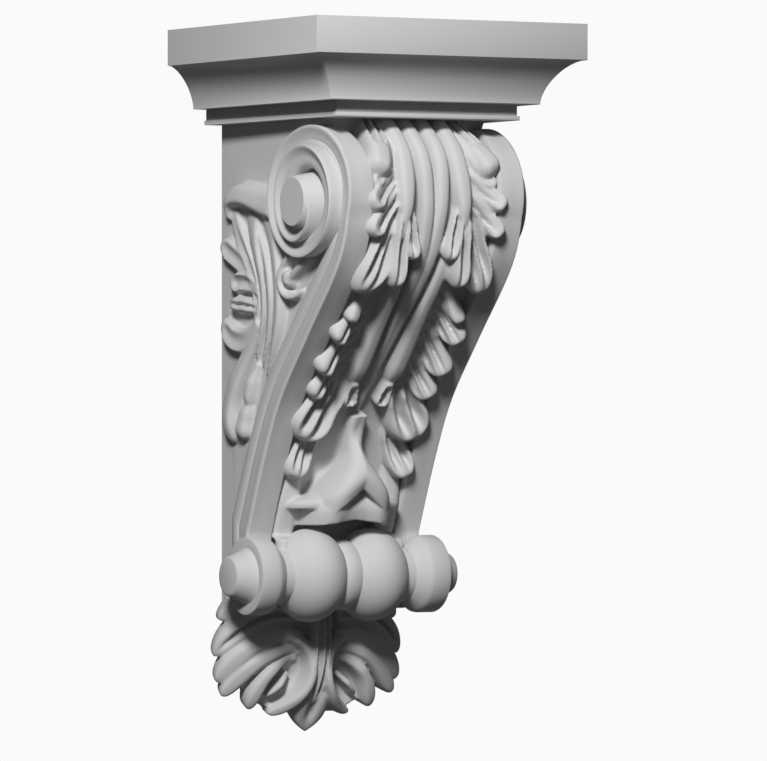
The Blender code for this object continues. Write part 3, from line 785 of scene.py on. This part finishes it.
closed_tube(carved, *DROP_BACK_GRID, drop_back)
petal(
    carved,
    drop,
    ((0, -100), (0, -125), (0, -150), (0, -162)),
    (10, 11, 9),
    (DROP_RELIEF * 1.5, DROP_RELIEF * 1.8, DROP_RELIEF * 1.0),
    slits=2,
    gap=0.9,
    sink=DROP_SINK,
)
petal(
    carved,
    drop,
    ((0, -140), (0, -155), (0, FOOT + 0.9)),
    (6, 19, 30),
    (DROP_RELIEF * 0.6, DROP_RELIEF, DROP_RELIEF * 0.5),
    slits=1,
    gap=2.4,
    blunt=0.5,
    point=0.9,
    sink=DROP_SINK,
)
for spine, widths, shares, slits, dish, blunt, point in DROP_LOBES:
    rises = tuple(DROP_RELIEF * share for share in shares)
    petal(carved_pair, drop, spine, widths, rises, slits, DROP_SLIT, dish, blunt, point, DROP_SINK)

# The casting.
# The carved forms run together into one skin, as the mould gives them: soft at the inner corners, flat at the
# wall; the cap, straps, eyes and roller join it as separate shells. The carving of the right side is repeated
# on the left.
SKIN = 0.75
SOFTENING = 0.5
SOFTENING_TURNS = 2
CARVED_TRIANGLES = 150000
CREASE = math.radians(40)


def both_sides(middle, pair, name):
    """One mesh of the middle forms, the right-hand forms and their mirror image."""
    copy = bmesh.ops.duplicate(pair, geom=pair.verts[:] + pair.edges[:] + pair.faces[:])["geom"]
    bmesh.ops.scale(pair, vec=(-1, 1, 1), verts=[g for g in copy if isinstance(g, bmesh.types.BMVert)])
    data = bpy.data.meshes.new(name)
    pair.to_mesh(data)
    middle.from_mesh(data)
    bmesh.ops.recalc_face_normals(middle, faces=middle.faces)
    middle.to_mesh(data)
    middle.free()
    pair.free()
    return data


def settled(thing):
    """Bakes the object's modifiers into its mesh."""
    bpy.context.view_layer.update()
    shaped = bpy.data.meshes.new_from_object(thing.evaluated_get(bpy.context.evaluated_depsgraph_get()))
    thing.modifiers.clear()
    thing.data = shaped
    return shaped


casting = bpy.data.objects.new("corbel_casting", both_sides(carved, carved_pair, "carved"))
studio.collection.objects.link(casting)
fused = casting.modifiers.new("fused", "REMESH")
fused.mode = "VOXEL"
fused.voxel_size = SKIN
softened = casting.modifiers.new("softened", "SMOOTH")
softened.factor = SOFTENING
softened.iterations = SOFTENING_TURNS
dense = settled(casting)

trim = bmesh.new()
trim.from_mesh(dense)
cut = bmesh.ops.bisect_plane(
    trim,
    geom=trim.verts[:] + trim.edges[:] + trim.faces[:],
    plane_co=(0, 0, 0),
    plane_no=(0, 1, 0),
    clear_outer=True,
)
bmesh.ops.holes_fill(trim, edges=[g for g in cut["geom_cut"] if isinstance(g, bmesh.types.BMEdge)], sides=0)
bmesh.ops.triangulate(trim, faces=trim.faces)
triangles = len(trim.faces)
trim.to_mesh(dense)
trim.free()
if triangles > CARVED_TRIANGLES:
    thinned = casting.modifiers.new("thinned", "DECIMATE")
    thinned.ratio = CARVED_TRIANGLES / triangles
    dense = settled(casting)

joined = bmesh.new()
joined.from_mesh(dense)
joined.from_mesh(both_sides(plain, plain_pair, "plain"))
bmesh.ops.scale(joined, vec=(MILLIMETRE,) * 3, verts=joined.verts)
for vert in joined.verts:
    vert.co.y = min(vert.co.y, 0.0)
    vert.co.z = max(vert.co.z, low.z)
joined.to_mesh(dense)
joined.free()
dense.name = "corbel_casting"
dense.shade_smooth()
dense.set_sharp_from_angle(angle=CREASE)

# The finish: a matt sprayed primer, a little uneven in tone, with a fine orange-peel surface.
BASE_DARK = (0.585, 0.585, 0.585, 1)
BASE_LIGHT = (0.618, 0.618, 0.618, 1)
MOTTLE_SCALE = 38.0
GRAIN_SCALE = 1500.0
PEEL_SCALE = 420.0
ROUGHNESS = 0.72
ROUGHNESS_SPREAD = 0.1
SPECULAR = 0.25
SPRAY_DEPTH = 0.00012


class Socket:
    """A node's output, which adds and multiplies like a number."""

    def __init__(self, tree, output):
        self.tree = tree
        self.output = output

    def add(self, kind, settings, inputs, result=0):
        """A new node: its settings first, then a value or a link for each named input."""
        node = self.tree.nodes.new(kind)
        for name, value in settings.items():
            setattr(node, name, value)
        for name, value in inputs.items():
            if isinstance(value, Socket):
                self.tree.links.new(value.output, node.inputs[name])
            else:
                node.inputs[name].default_value = value
        return Socket(self.tree, node.outputs[result])

    def __add__(self, other):
        return self.add("ShaderNodeMath", {"operation": "ADD"}, {0: self, 1: other})

    def __mul__(self, other):
        return self.add("ShaderNodeMath", {"operation": "MULTIPLY"}, {0: self, 1: other})

    __radd__ = __add__
    __rmul__ = __mul__


primer = bpy.data.materials.new("primed casting")
primer.use_nodes = True
tree = primer.node_tree
shader = tree.nodes["Principled BSDF"]
spot = Socket(tree, tree.nodes.new("ShaderNodeTexCoord").outputs["Object"])
noise = "ShaderNodeTexNoise"
mottle = spot.add(noise, {}, {"Vector": spot, "Scale": MOTTLE_SCALE, "Detail": 3.0, "Roughness": 0.6})
peel = spot.add(noise, {}, {"Vector": spot, "Scale": PEEL_SCALE, "Detail": 2.0, "Roughness": 0.5})
grain = spot.add(noise, {}, {"Vector": spot, "Scale": GRAIN_SCALE, "Detail": 1.0, "Roughness": 0.5})
tone = mottle * 0.6 + grain * 0.4
colour = spot.add("ShaderNodeMix", {"data_type": "RGBA"}, {"Factor": tone, 6: BASE_DARK, 7: BASE_LIGHT}, 2)
height = peel * 0.5 + grain * 0.5
spray = spot.add("ShaderNodeBump", {}, {"Height": height, "Strength": 0.6, "Distance": SPRAY_DEPTH})
tree.links.new(colour.output, shader.inputs["Base Color"])
tree.links.new((ROUGHNESS + peel * ROUGHNESS_SPREAD).output, shader.inputs["Roughness"])
tree.links.new(spray.output, shader.inputs["Normal"])
shader.inputs["Specular IOR Level"].default_value = SPECULAR
dense.materials.clear()
dense.materials.append(primer)
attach(casting, "root")
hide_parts("corbel")
